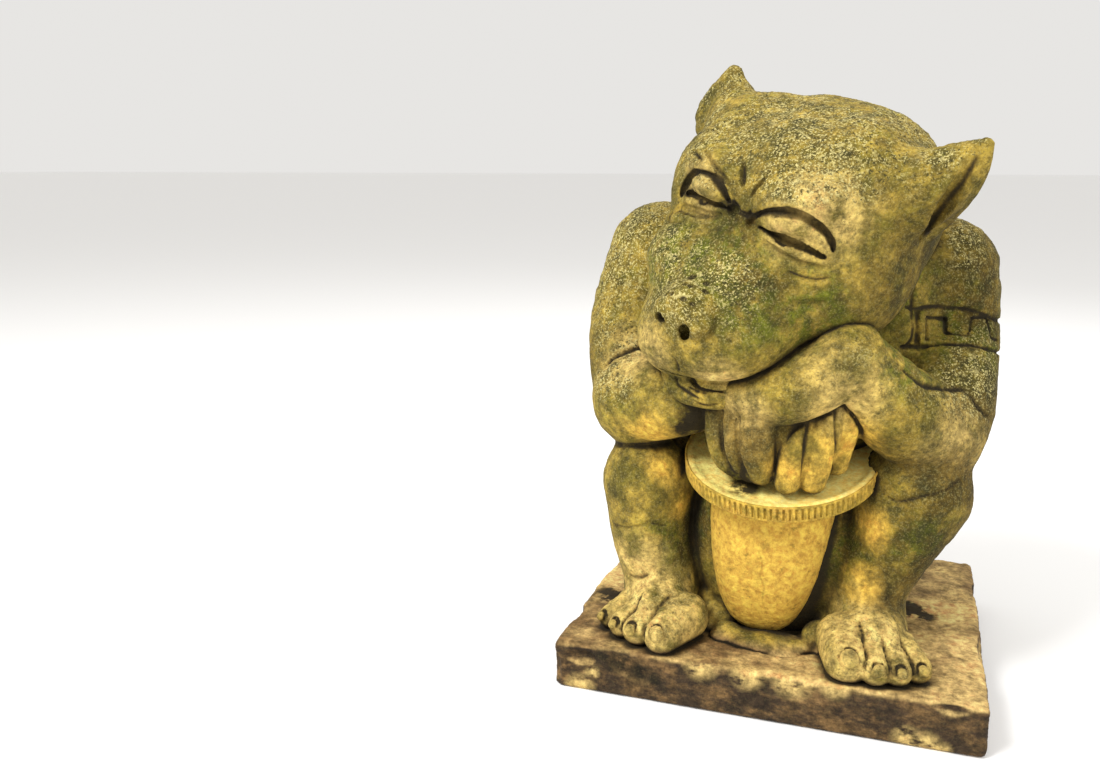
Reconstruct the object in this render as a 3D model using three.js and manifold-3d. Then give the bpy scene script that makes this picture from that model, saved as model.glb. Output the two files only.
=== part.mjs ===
// Cast stone garden gargoyle, one casting: a squatting figure with a dog's head that rests its
// muzzle on crossed hands, the hands lie on a small drum, and all of it stands on a slab.
// Millimetres, +Z up. The figure faces -Y and the origin is the centre of the slab's underside.
import * as THREE from 'three';
import { mergeVertices } from 'three/addons/utils/BufferGeometryUtils.js';
import Module from 'manifold-3d';

const wasm = await Module();
wasm.setup();

// Driving sizes of the slab
const slabWidth = 450;
const slabDepth = 402;
const slabThickness = 54;
const slabEdgeRound = 7;

// Driving size of the figure, from the slab's top to the tip of its right ear
const figureHeight = 621;

// Driving sizes of the drum
const drumDiameter = 212;
const drumRimHeight = 18;
const drumLean = 18;
const drumBodyWidth = 132;
const drumBodyDepth = 124;

// The figure was drawn at this height, and everything on it keeps its share
const drawnHeight = 621;
const share = figureHeight / drawnHeight;

// How far a piece sinks into the slab that carries it, and the block that trims what lies deeper
const rooted = 12;
const trimWidth = 1000;
const trimDepth = 200;

const radians = THREE.MathUtils.degToRad;
const vector = (place) => new THREE.Vector3(...place);
const mirrored = (place, side) => [side * place[0], place[1], place[2]];

// A lump is a soft ellipsoid: where it is, its half sizes, its turn in degrees, how softly it
// runs into the others, and how square it is (2 is round)
function lump(at, size, turn = [0, 0, 0], soft = 30, square = 2) {
  const spin = new THREE.Euler(...turn.map(radians), 'ZYX');
  const inverse = new THREE.Quaternion().setFromEuler(spin).invert();
  return { at: vector(at), size: vector(size), inverse, soft, square };
}

function lumpDistance(piece, point) {
  const place = point.clone().sub(piece.at).applyQuaternion(piece.inverse).divide(piece.size);
  if (piece.square === 2) {
    const slope = place.clone().divide(piece.size).length();
    const reach = place.length();
    return (reach * (reach - 1)) / Math.max(slope, 1e-6);
  }
  const sum = place.toArray().reduce((total, value) => total + Math.abs(value) ** piece.square, 0);
  return (sum ** (1 / piece.square) - 1) * Math.min(...piece.size.toArray());
}

// The distance from a point to lumps that run softly into one another
function clayDistance(pieces, point) {
  let total = lumpDistance(pieces[0], point);
  for (const piece of pieces.slice(1)) {
    const distance = lumpDistance(piece, point);
    const overlap = Math.max(piece.soft - Math.abs(total - distance), 0) / piece.soft;
    total = Math.min(total, distance) - (overlap * overlap * piece.soft) / 4;
  }
  return total;
}

// The place where a line from far outside towards a centre meets the clay
function onSkin(pieces, centre, direction, far = 420) {
  const way = direction.clone().normalize();
  let reach = far;
  for (let step = 0; step < 120; step += 1) {
    const distance = clayDistance(pieces, centre.clone().addScaledVector(way, reach));
    if (distance < 0.1) break;
    reach -= distance * 0.8;
  }
  return centre.clone().addScaledVector(way, reach);
}

// A sphere's lattice drawn onto the clay from all sides
function clayGeometry(pieces, centre, across, rings) {
  const geometry = new THREE.SphereGeometry(1, across, rings);
  const points = geometry.attributes.position;
  for (let index = 0; index < points.count; index += 1) {
    const direction = new THREE.Vector3().fromBufferAttribute(points, index);
    const skin = onSkin(pieces, vector(centre), direction);
    points.setXYZ(index, skin.x, skin.y, skin.z);
  }
  return geometry;
}

// A round limb along a smooth line through stations, each with a place and a radius
function limbGeometry(stations, sides, steps) {
  const curve = new THREE.CatmullRomCurve3(stations.map(vector), false, 'centripetal');
  const frames = curve.computeFrenetFrames(steps);
  const last = stations.length - 1;
  const geometry = new THREE.CapsuleGeometry(1, 2, Math.max(2, Math.round(sides / 5)), sides, steps);
  const points = geometry.attributes.position;
  for (let index = 0; index < points.count; index += 1) {
    const along = THREE.MathUtils.clamp((points.getY(index) + 1) / 2, 0, 1);
    const beyond = points.getY(index) - (along * 2 - 1);
    const ring = Math.round(along * steps);
    const spot = curve.getUtoTmapping(along);
    const span = Math.min(Math.floor(spot * last), last - 1);
    const radius = THREE.MathUtils.lerp(stations[span][3], stations[span + 1][3], spot * last - span);
    const place = curve.getPoint(spot);
    place.addScaledVector(frames.tangents[ring], beyond * radius);
    place.addScaledVector(frames.normals[ring], points.getX(index) * radius);
    place.addScaledVector(frames.binormals[ring], -points.getZ(index) * radius);
    points.setXYZ(index, place.x, place.y, place.z);
  }
  return geometry;
}

// A square rod between two points, for carved lines, a little longer so that rods meet
function rodGeometry(from, to, radius) {
  const run = to.clone().sub(from);
  const geometry = new THREE.CylinderGeometry(radius, radius, run.length() + radius, 4);
  const upright = new THREE.Vector3(0, 1, 0);
  geometry.applyQuaternion(new THREE.Quaternion().setFromUnitVectors(upright, run.normalize()));
  geometry.translate(...from.clone().add(to).multiplyScalar(0.5));
  return geometry;
}

function ellipsoidGeometry(at, size, turn = [0, 0, 0], across = 12, rings = 8) {
  const geometry = new THREE.SphereGeometry(1, across, rings);
  geometry.scale(...size);
  const spin = new THREE.Euler(...turn.map(radians), 'ZYX');
  geometry.applyMatrix4(new THREE.Matrix4().makeRotationFromEuler(spin));
  geometry.translate(...at);
  return geometry;
}

// From a geometry to a solid that can be joined and cut, and back
function solid(geometry) {
  const bare = geometry.clone();
  bare.deleteAttribute('normal');
  bare.deleteAttribute('uv');
  const merged = mergeVertices(bare, 1e-3);
  const corners = [];
  const index = merged.index.array;
  for (let start = 0; start < index.length; start += 3) {
    const [a, b, c] = index.slice(start, start + 3);
    if (a !== b && b !== c && c !== a) corners.push(a, b, c);
  }
  return new wasm.Manifold(new wasm.Mesh({
    numProp: 3,
    vertProperties: merged.attributes.position.array,
    triVerts: Uint32Array.from(corners),
  }));
}

function geometryOf(body) {
  const mesh = body.getMesh();
  const geometry = new THREE.BufferGeometry();
  geometry.setAttribute('position', new THREE.BufferAttribute(Float32Array.from(mesh.vertProperties), 3));
  geometry.setIndex(Array.from(mesh.triVerts));
  geometry.computeVertexNormals();
  return geometry;
}

const join = (bodies) => bodies.reduce((total, body) => total.add(body));

// The head, drawn level and facing -Y around its own centre, then turned on the neck
const headCentre = [17, -58, 474];
const headYaw = -36.6;
const headNod = 21.6;
const headTilt = 15;
const headPlace = new THREE.Matrix4().makeRotationFromEuler(
  new THREE.Euler(radians(headNod), radians(headTilt), radians(headYaw), 'ZXY'),
).setPosition(...headCentre);

const headLumps = [
  lump([0, 12, -2], [122, 114, 102], [0, 0, 0], 0, 2.5),
  lump([0, -38, 26], [106, 60, 60]),
  lump([84, 14, 52], [46, 58, 46], [0, 0, 0], 20),
  lump([-84, 14, 52], [46, 58, 46], [0, 0, 0], 20),
  lump([0, -92, -46], [92, 104, 68], [12, 0, 0], 26),
  lump([0, -150, -80], [80, 62, 60], [12, 0, 0], 24),
  lump([80, -34, -44], [52, 70, 66], [0, 0, 0], 26),
  lump([-96, -34, -44], [52, 70, 66], [0, 0, 0], 26),
  lump([-92, -40, 20], [46, 60, 60], [0, 0, 0], 26),
  lump([54, -80, 58], [42, 26, 20], [0, -10, 24], 18),
  lump([-54, -80, 58], [42, 26, 20], [0, 10, -24], 18),
  lump([0, -186, -36], [27, 27, 30], [0, 0, 0], 12),
  lump([0, -128, -122], [60, 62, 38], [8, 0, 0], 14),
];
const headLatticeCentre = [0, -30, -20];

function ear(side) {
  const stations = [
    [98, 8, 40, 50],
    [128, 28, 58, 34],
    [148, 46, 78, 18],
    [158, 56, 92, 7],
  ].map(([x, y, z, radius]) => [side * x, y, z, radius]);
  const hollow = ellipsoidGeometry(mirrored([162, 62, 44], side), [22, 24, 44], [0, side * 24, 0], 12, 8);
  return solid(limbGeometry(stations, 12, 4)).subtract(solid(hollow));
}

// An eye is a hollow under the brow with a heavy lid in it, split by a narrow slit
const eyePlace = [57, -89, 30];
const slitRadius = 3.5;
const mouthRadius = 4;

function socket(side) {
  const place = [eyePlace[0], eyePlace[1] - 27, eyePlace[2] + 4];
  return solid(ellipsoidGeometry(mirrored(place, side), [36, 26, 25], [0, side * -6, side * 25]));
}

function lid(side) {
  return solid(ellipsoidGeometry(mirrored(eyePlace, side), [32, 20, 21], [0, 0, side * 25]));
}

// A carved line follows the skin through the places named, and its radius is its depth
function carvedLine(pieces, centre, places, radius) {
  const points = places.map((place) => onSkin(pieces, vector(centre), vector(place).sub(vector(centre))));
  const rods = [];
  for (let index = 1; index < points.length; index += 1) {
    rods.push(solid(rodGeometry(points[index - 1], points[index], radius)));
  }
  return join(rods);
}

function head() {
  let body = solid(clayGeometry(headLumps, headLatticeCentre, 30, 22));
  body = body.add(ear(1)).add(ear(-1));
  body = body.subtract(socket(1)).subtract(socket(-1));
  body = body.add(lid(1)).add(lid(-1));
  for (const side of [1, -1]) {
    const slitPlaces = [[30, -106, 34], [56, -112, 27], [82, -98, 18]];
    const slitPoints = slitPlaces.map((place) => vector(mirrored(place, side)));
    body = body.subtract(solid(rodGeometry(slitPoints[0], slitPoints[1], slitRadius)));
    body = body.subtract(solid(rodGeometry(slitPoints[1], slitPoints[2], slitRadius)));
    const mouthPlaces = [
      [0, -200, -106],
      [34, -186, -118],
      [62, -154, -106],
      [84, -122, -94],
      [108, -78, -72],
    ].map((place) => mirrored(place, side));
    body = body.subtract(carvedLine(headLumps, headLatticeCentre, mouthPlaces, mouthRadius));
    const nostril = ellipsoidGeometry(mirrored([16, -210, -38], side), [6, 12, 5], [0, 0, 0], 8, 5);
    body = body.subtract(solid(nostril));
  }
  return body.transform(headPlace.elements);
}

// The trunk, from the seat to the shoulders
const trunkLumps = [
  lump([0, 62, 208], [150, 104, 210], [0, 0, 0], 0),
  lump([-4, 52, 376], [178, 86, 96], [0, 0, 0], 40),
  lump([0, 92, 86], [160, 98, 96], [0, 0, 0], 40),
  lump([0, -5, 276], [120, 96, 130]),
  lump([96, -10, 366], [60, 60, 90]),
  lump([-96, -10, 366], [60, 60, 90]),
  lump([0, -20, 136], [110, 60, 110], [0, 0, 0], 20),
  lump([112, 30, 50], [62, 84, 80], [0, 0, 0], 20),
  lump([-112, 30, 50], [62, 84, 80], [0, 0, 0], 20),
];

const trunkLatticeCentre = [0, 50, 210];

// Limbs by stations of place and radius. Left and right are the figure's own
const leftUpperArm = [[150, 30, 388, 61], [166, 18, 336, 48], [152, -50, 244, 48]];
const leftForearm = [[150, -62, 240, 50], [112, -108, 268, 48], [70, -146, 330, 34]];
const rightUpperArm = [[-158, 16, 401, 66], [-188, -16, 326, 54], [-162, -70, 258, 48]];
const rightForearm = [[-160, -84, 262, 48], [-110, -112, 268, 46], [-50, -125, 264, 36]];
const leftHand = [[70, -148, 328, 34], [22, -162, 294, 33], [-14, -160, 270, 28]];
const rightHand = [[0, -118, 256, 30], [56, -112, 254, 28]];
const leftFingers = [
  [[2, -160, 276, 24], [-12, -168, 240, 19], [-18, -148, 200, 15]],
  [[-36, -152, 270, 15], [-46, -160, 240, 14], [-44, -144, 200, 11]],
  [[-58, -142, 268, 14], [-68, -150, 240, 13], [-66, -138, 200, 11]],
];
const rightFingers = [
  [[8, -134, 258, 18], [20, -162, 240, 17], [18, -158, 198, 14]],
  [[36, -126, 262, 19], [46, -152, 240, 18], [42, -148, 200, 15]],
  [[62, -106, 260, 18], [74, -124, 240, 17], [68, -118, 208, 14]],
];

const rightShin = [[-150, -84, 162, 50], [-144, -84, 96, 46], [-128, -84, 38, 42]];
const leftShin = [[138, -70, 168, 58], [120, -76, 96, 52], [100, -82, 38, 42]];
const rightThigh = [[-150, -74, 161, 50], [-138, 0, 140, 62], [-126, 60, 116, 74]];
const leftThigh = [[138, -56, 164, 56], [130, 10, 146, 66], [120, 60, 124, 74]];
const rightFoot = [[-132, -84, 26, 40], [-126, -112, 24, 38], [-122, -136, 18, 34]];
const leftFoot = [[104, -84, 26, 40], [108, -112, 24, 38], [110, -138, 18, 34]];
const rightToes = [
  [[-94, -138, 15, 23], [-108, -181, 14, 17]],
  [[-124, -142, 18, 18], [-136, -173, 12, 15]],
  [[-142, -136, 16, 17], [-156, -162, 11, 14]],
  [[-156, -120, 15, 16], [-174, -144, 10, 13]],
];
const leftToes = [
  [[82, -138, 17, 24], [90, -179, 15, 19]],
  [[104, -144, 18, 18], [116, -182, 12, 15]],
  [[122, -140, 16, 17], [137, -176, 11, 14]],
  [[138, -128, 15, 16], [155, -162, 10, 13]],
];

// The armband's carved borders and its key pattern, between two heights of the upper arm.
// Places round the arm are angles in degrees
const armbandLow = 318;
const armbandHigh = 356;
const armbandLine = 2.6;
const armbandStart = -118;
const armbandStep = 28;
const armbandCorners = 7;
const keyStarts = [-112, -66];
const keyInset = 9;
const keyTooth = 18;
const keyRun = 38;

function onArm(angle, height) {
  const direction = new THREE.Vector3(Math.cos(radians(angle)), Math.sin(radians(angle)), 0);
  const upper = leftUpperArm[0];
  const lower = leftUpperArm[1];
  const along = (upper[2] - height) / (upper[2] - lower[2]);
  const radius = THREE.MathUtils.lerp(upper[3], lower[3], along);
  const centre = new THREE.Vector3(
    THREE.MathUtils.lerp(upper[0], lower[0], along),
    THREE.MathUtils.lerp(upper[1], lower[1], along),
    height,
  );
  return centre.addScaledVector(direction, radius);
}

function armband() {
  const rods = [];
  const trace = (places) => {
    const points = places.map(([angle, height]) => onArm(angle, height));
    for (let index = 1; index < points.length; index += 1) {
      rods.push(solid(rodGeometry(points[index - 1], points[index], armbandLine)));
    }
  };
  for (const height of [armbandLow, armbandHigh]) {
    trace(Array.from({ length: armbandCorners }, (_, index) => [armbandStart + index * armbandStep, height]));
  }
  const low = armbandLow + keyInset;
  const high = armbandHigh - keyInset;
  for (const start of keyStarts) {
    trace([
      [start, low],
      [start, high],
      [start + keyTooth, high],
      [start + keyTooth, low],
      [start + keyRun, low],
    ]);
  }
  return join(rods);
}

// The drum: a thick rim that leans forward over a rounded body standing on the slab
const drumPlace = [0, -80, 208];
const rimEdge = 3;

function drum() {
  const radius = drumDiameter / 2 / share;
  const height = drumRimHeight / share;
  const rimProfile = [
    [0, -height],
    [radius - rimEdge, -height],
    [radius, -height + rimEdge],
    [radius, -rimEdge],
    [radius - rimEdge, 0],
    [0, 0],
  ].map(([x, y]) => new THREE.Vector2(x, y));
  const rim = new THREE.LatheGeometry(rimProfile, 32);
  rim.rotateX(radians(90 + drumLean));
  rim.translate(...drumPlace);
  const width = drumBodyWidth / share;
  const depth = drumBodyDepth / share;
  const tall = drumPlace[2] - 4;
  const keg = lump([0, 0, tall], [width / 2, depth / 2, tall + rooted], [0, 0, 0], 0, 2.6);
  const body = clayGeometry([keg], [0, 0, tall / 2], 18, 12);
  body.translate(drumPlace[0], drumPlace[1], 0);
  const above = new THREE.BoxGeometry(3 * radius, 3 * radius, 2 * radius);
  above.translate(0, 0, radius - height / 2);
  above.rotateX(radians(drumLean));
  above.translate(...drumPlace);
  return solid(body).subtract(solid(above)).add(solid(rim));
}

// The slab, a plate with rounded edges
function slab() {
  const outline = new THREE.Shape();
  const x = slabWidth / 2 - slabEdgeRound;
  const y = slabDepth / 2 - slabEdgeRound;
  outline.moveTo(-x, -y);
  outline.lineTo(x, -y);
  outline.lineTo(x, y);
  outline.lineTo(-x, y);
  outline.closePath();
  const geometry = new THREE.ExtrudeGeometry(outline, {
    depth: slabThickness - 2 * slabEdgeRound,
    bevelEnabled: true,
    bevelThickness: slabEdgeRound,
    bevelSize: slabEdgeRound,
    bevelSegments: 2,
  });
  geometry.translate(0, 0, slabEdgeRound);
  return solid(geometry);
}

function figure() {
  const trunk = clayGeometry(trunkLumps, trunkLatticeCentre, 24, 16);
  const bodies = [solid(trunk)];
  const limb = (stations, sides, steps) => bodies.push(solid(limbGeometry(stations, sides, steps)));
  for (const stations of [leftUpperArm, leftForearm, rightUpperArm, rightForearm]) limb(stations, 14, 5);
  for (const stations of [leftShin, rightShin, leftThigh, rightThigh]) limb(stations, 12, 4);
  for (const stations of [leftHand, rightHand, leftFoot, rightFoot]) limb(stations, 10, 2);
  for (const stations of [...leftFingers, ...rightFingers]) limb(stations, 8, 4);
  for (const stations of [...leftToes, ...rightToes]) limb(stations, 7, 1);
  const whole = join(bodies).add(drum()).add(head()).subtract(armband());
  const below = new THREE.BoxGeometry(trimWidth, trimWidth, trimDepth);
  below.translate(0, 0, -trimDepth / 2 - rooted);
  return whole.subtract(solid(below)).scale([share, share, share]).translate([0, 0, slabThickness]);
}

// Weathered stone
const stone = new THREE.MeshStandardMaterial({ color: 0x8c8550, roughness: 0.92, metalness: 0 });

const gargoyle = new THREE.Mesh(geometryOf(slab().add(figure())), stone);
gargoyle.name = 'gargoyle';

const root = new THREE.Group();
root.add(gargoyle);

export default root;
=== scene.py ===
import math
import bpy
import numpy as np
import openvdb
from mathutils import Matrix, Vector


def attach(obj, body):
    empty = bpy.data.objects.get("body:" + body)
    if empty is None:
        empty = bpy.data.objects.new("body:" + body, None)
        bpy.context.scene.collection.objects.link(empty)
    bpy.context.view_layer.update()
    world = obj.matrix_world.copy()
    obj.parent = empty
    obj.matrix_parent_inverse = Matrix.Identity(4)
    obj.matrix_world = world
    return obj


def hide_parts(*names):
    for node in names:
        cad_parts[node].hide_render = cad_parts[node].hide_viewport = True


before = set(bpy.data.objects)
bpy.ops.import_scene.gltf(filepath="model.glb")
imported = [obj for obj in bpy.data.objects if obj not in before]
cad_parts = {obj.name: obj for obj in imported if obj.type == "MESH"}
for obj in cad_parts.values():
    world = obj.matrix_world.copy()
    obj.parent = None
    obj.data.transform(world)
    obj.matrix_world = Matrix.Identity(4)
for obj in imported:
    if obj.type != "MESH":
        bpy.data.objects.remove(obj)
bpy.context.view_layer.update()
slabTop = 54  # millimetres; the figure is sculpted in millimetres above it
farAway = 60.0  # the distance that empty clay holds
bpy.ops.object.select_all(action="DESELECT")


# Clay: forms added and cut as soft distances on a grid

def turned(degreesXyz, order="ZYX"):
    rx, ry, rz = (math.radians(a) for a in degreesXyz)
    x = np.array([[1, 0, 0], [0, math.cos(rx), -math.sin(rx)], [0, math.sin(rx), math.cos(rx)]])
    y = np.array([[math.cos(ry), 0, math.sin(ry)], [0, 1, 0], [-math.sin(ry), 0, math.cos(ry)]])
    z = np.array([[math.cos(rz), -math.sin(rz), 0], [math.sin(rz), math.cos(rz), 0], [0, 0, 1]])
    return z @ y @ x if order == "ZYX" else z @ x @ y


def smoothLine(places, steps):
    places = np.array(places, float)
    if len(places) < 3:
        t = np.linspace(0, 1, steps)[:, None]
        return places[0] * (1 - t) + places[-1] * t
    ends = np.vstack([2 * places[0] - places[1], places, 2 * places[-1] - places[-2]])
    line = []
    for i in range(steps):
        u = i / (steps - 1) * (len(places) - 1)
        j = min(int(u), len(places) - 2)
        t = u - j
        a, b, c, d = ends[j:j + 4]
        bend = (2 * a - 5 * b + 4 * c - d) * t * t + (3 * b - a - 3 * c + d) * t ** 3
        line.append(0.5 * (2 * b + (c - a) * t + bend))
    return np.array(line)


def tapered(steps, ends):  # full in the middle of a line, thin at its ends
    return ends + (1 - ends) * np.sin(np.pi * np.linspace(0, 1, steps)) ** 0.6


class Clay:
    settleRounds, settleStride = 12, 0.8  # how a point walks onto the surface
    lumpRoom, limbRoom = 20, 14  # how far round a form its distance is worked out

    def __init__(self, low, high, step):
        self.low = np.array(low, np.float32)
        self.step = step
        self.count = np.ceil((np.array(high) - low) / step).astype(int) + 1
        self.field = np.full(self.count, farAway, np.float32)
        self.shadeMarks = []  # lines of painted shade, their reach and how dark they are

    def patch(self, low, high):
        a = np.clip(np.floor((np.array(low) - self.low) / self.step).astype(int), 0, self.count)
        b = np.clip(np.ceil((np.array(high) - self.low) / self.step).astype(int) + 1, 0, self.count)
        where = tuple(slice(i, j) for i, j in zip(a, b))
        axes = [self.low[i] + self.step * np.arange(a[i], b[i], dtype=np.float32) for i in range(3)]
        return where, axes[0][:, None, None], axes[1][None, :, None], axes[2][None, None, :]

    def work(self, where, distance, soft, cut=False):
        here = self.field[where]
        there = -distance if cut else distance
        ease = 0
        if soft > 0:
            ease = np.maximum(soft - np.abs(here - there), 0) / soft
            ease = ease * ease * soft * 0.25
        self.field[where] = np.maximum(here, there) + ease if cut else np.minimum(here, there) - ease

    def lump(self, at, size, turn=(0, 0, 0), soft=30, square=2, cut=False):
        at, size, spin = np.array(at, float), np.array(size, float), turned(turn)
        reach = np.abs(spin) @ size + self.lumpRoom + soft
        where, x, y, z = self.patch(at - reach, at + reach)
        x, y, z = x - at[0], y - at[1], z - at[2]
        q = [(spin[0, i] * x + spin[1, i] * y + spin[2, i] * z) / size[i] for i in range(3)]
        if square == 2:
            k0 = np.sqrt(q[0] ** 2 + q[1] ** 2 + q[2] ** 2)
            k1 = np.sqrt((q[0] / size[0]) ** 2 + (q[1] / size[1]) ** 2 + (q[2] / size[2]) ** 2)
            distance = k0 * (k0 - 1) / np.maximum(k1, 1e-6)
        else:
            k0 = sum(np.abs(v) ** square for v in q) ** (1 / square)
            distance = (k0 - 1) * min(size)
        self.work(where, distance.astype(np.float32), soft, cut)

    def disc(self, at, radius, half, turn):
        spin, reach = turned(turn), radius + self.lumpRoom
        where, x, y, z = self.patch(np.array(at) - reach, np.array(at) + reach)
        x, y, z = x - at[0], y - at[1], z - at[2]
        q = [spin[0, i] * x + spin[1, i] * y + spin[2, i] * z for i in range(3)]
        distance = np.maximum(np.hypot(q[0], q[1]) - radius, np.abs(q[2]) - half)
        self.work(where, distance.astype(np.float32), 0)

    def limb(self, stations, soft=12, cut=False, steps=0):
        stations = np.array(stations, float)
        if steps:
            stations = smoothLine(stations, steps)
        p, r = stations[:, :3], stations[:, 3]
        room = self.limbRoom + soft
        where, x, y, z = self.patch((p - r[:, None]).min(0) - room, (p + r[:, None]).max(0) + room)
        best = None
        for a, b, ra, rb in zip(p[:-1], p[1:], r[:-1], r[1:]):
            run = b - a
            t = ((x - a[0]) * run[0] + (y - a[1]) * run[1] + (z - a[2]) * run[2]) / max(run @ run, 1e-9)
            t = np.clip(t, 0, 1)
            away = [v - start - along * t for v, start, along in zip((x, y, z), a, run)]
            d = np.sqrt(away[0] ** 2 + away[1] ** 2 + away[2] ** 2)
            d -= ra + (rb - ra) * t
            best = d if best is None else np.minimum(best, d)
        self.work(where, best.astype(np.float32), soft, cut)

    def sample(self, points):
        q = np.clip((np.atleast_2d(points) - self.low) / self.step, 0, self.count - 1.001)
        i = q.astype(int)
        t = q - i
        total = 0
        for dx in (0, 1):
            for dy in (0, 1):
                for dz in (0, 1):
                    w = np.abs(1 - dx - t[:, 0]) * np.abs(1 - dy - t[:, 1]) * np.abs(1 - dz - t[:, 2])
                    total = total + w * self.field[i[:, 0] + dx, i[:, 1] + dy, i[:, 2] + dz]
        return total

    def settle(self, points, depth=0):  # slides points onto the surface, or a depth below it
        points = np.array(points, float)
        for _ in range(self.settleRounds):
            d = self.sample(points)
            sides = np.eye(3) * self.step
            slope = np.stack([self.sample(points + e) - self.sample(points - e) for e in sides], -1)
            slope /= np.maximum(np.linalg.norm(slope, axis=1, keepdims=True), 1e-6)
            points = points - slope * (d + depth)[:, None] * self.settleStride
        return points

    def groove(self, places, width, depth=0.0, soft=2, steps=16, ends=0.35, shadeStrength=0.8):
        line, taper = self.settle(smoothLine(places, steps), depth), tapered(steps, ends)
        # painted shade along the groove
        self.shadeLine(places, depth + width, (width * 0.5 + 1.2) * taper, shadeStrength, steps)
        self.limb(np.column_stack([line, width * taper]), soft, cut=True)

    def shadeLine(self, places, depth, reach, shadeStrength, steps=16):  # painted shade: a dark line along the surface, or below it
        line = self.settle(smoothLine(places, steps), depth)
        self.shadeMarks.append((line, np.broadcast_to(reach, steps), shadeStrength))

    def bead(self, places, width, proud, soft=4, steps=16, ends=0.4):
        line = self.settle(smoothLine(places, steps), width - proud)
        self.limb(np.column_stack([line, width * tapered(steps, ends)]), soft)


def castMesh(name, clay, place=None):
    grid = openvdb.FloatGrid(farAway)
    grid.copyFromArray(clay.field)
    points, triangles, quads = grid.convertToPolygons(isovalue=0.0, adaptivity=0.0)
    points = points * clay.step + clay.low
    if place:
        points = place(points)
    points = (points + (0, 0, slabTop)) / 1000
    mesh = bpy.data.meshes.new(name)
    faces = [tuple(q) for q in quads.tolist()] + [tuple(t) for t in triangles.tolist()]
    mesh.from_pydata([tuple(p) for p in points.tolist()], [], faces)
    mesh.update()
    piece = bpy.data.objects.new(name, mesh)
    bpy.context.scene.collection.objects.link(piece)
    return piece


def activate(piece):
    bpy.ops.object.select_all(action="DESELECT")
    piece.select_set(True)
    bpy.context.view_layer.objects.active = piece


def applyModifier(piece, kind, **settings):
    activate(piece)
    bpy.ops.object.modifier_add(type=kind)
    modifier = piece.modifiers[-1]
    for key, value in settings.items():
        setattr(modifier, key, value)
    bpy.ops.object.modifier_apply(modifier=modifier.name)


def erode(piece, name, grain, strength, depth=2, group=""):
    cloud = bpy.data.textures.new(name, "CLOUDS")
    cloud.noise_scale = grain
    cloud.noise_depth = depth
    applyModifier(piece, "DISPLACE", texture=cloud, strength=strength, mid_level=0.5,
                  texture_coords="LOCAL", vertex_group=group)


def thin(piece, most):
    triangles = sum(len(p.vertices) - 2 for p in piece.data.polygons)
    if triangles > most:
        applyModifier(piece, "DECIMATE", ratio=most / triangles)


def weighGroup(piece, name, weight):  # a vertex group in tenths
    group = piece.vertex_groups.new(name=name)
    for level in range(1, 11):
        chosen = np.nonzero(np.round(weight * 10).astype(int) == level)[0]
        group.add(chosen.tolist(), level / 10, "REPLACE")


# Head, sculpted upright round its own centre, then turned

head = {
    "centre": (17, -58, 474),
    "nodTiltTurn": (21.6, 15, -36.6),
    "grain": 1.8,
    "mostTriangles": 190000,
    "ears": [  # places and radii, how softly they join
        ([(98, 8, 36, 46), (126, 24, 52, 34), (148, 38, 76, 19), (163, 46, 95, 5)], 14),
        ([(110, 32, -12, 11), (134, 36, 14, 9), (152, 40, 40, 7), (163, 43, 68, 5), (165, 46, 92, 4)], 9),
        ([(-98, 8, 40, 50), (-128, 28, 58, 34), (-148, 46, 78, 18), (-156, 54, 96, 6)], 16),
        ([(-140, 16, 24, 28), (-170, 26, 52, 18), (-172, 42, 78, 10), (-158, 54, 98, 5)], 14),
    ],
    "earHollows": [
        ([(164, 24, 84, 4), (158, 16, 62, 9), (146, 8, 40, 11), (132, 6, 16, 8), (126, 10, 0, 4)], 3),
        ([(-158, 36, 106, 4), (-156, 18, 97, 9), (-150, 2, 86, 9), (-142, -8, 74, 4)], 6),
    ],
    "earShadow": [(163, 32, 86), (157, 24, 64), (146, 16, 42), (134, 14, 18), (127, 18, 2)],
    "creaseSink": 0.9,
    "creases": [  # places on the face, width, depth
        ([(-71, -83, 80), (-41, -97, 73), (-21, -102, 64)], 2.6, 0.8),
        ([(-90, -82, 74), (-75, -90, 75), (-64, -95, 75)], 2.2, 0.6),
        ([(-20, -81, 79), (-13, -89, 72), (-7, -96, 62)], 2.4, 0.8),
        ([(13, -88, 74), (10, -95, 66), (6, -100, 57)], 3.0, 1.0),
        ([(-16, -107, 40), (0, -106, 39), (16, -107, 38)], 2.2, 0.8),
    ],
    "nostrils": [  # places and radii
        [(21, -218, -34, 7.5), (5, -199, -49, 6)],
        [(19, -216, -41, 6.5), (5, -199, -56, 5)],
        [(-18, -228, -40, 7), (-15, -192, -35, 6)],
    ],
    "nostrilShade": 9.0,
    "nosePits": [(8, -200, -12), (16, -196, -18), (4, -186, -2), (20, -180, -4), (12, -172, 2)],
    "pitShade": 4.5,
    "mouth": [(-66, -196, -100), (-46, -208, -103), (-27, -215, -104), (-13, -214, -107), (4, -208, -111),
              (24, -199, -115), (40, -189, -117), (54, -176, -112)],
    "lipLines": [  # places, width, depth, painted shade
        ([(3, -217, -76), (5, -216, -88), (2, -214, -102)], 1.6, 0.6, 0.6),
        ([(-20, -212, -112), (-6, -209, -119), (12, -206, -124), (26, -203, -127)], 1.8, 0.5, 0.8),
        ([(6, -205, -117), (20, -201, -120), (36, -195, -120)], 1.8, 0.5, 0.8),
        ([(16, -202, -132), (28, -198, -133), (42, -190, -128)], 1.8, 0.4, 0.5),
    ],
}
headMatrix = turned(head["nodTiltTurn"], "ZXY")
headCentre = np.array(head["centre"], float)


def toHead(points):
    return (np.asarray(points) - headCentre) @ headMatrix


def fromHead(points):
    return np.asarray(points) @ headMatrix.T + headCentre


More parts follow.
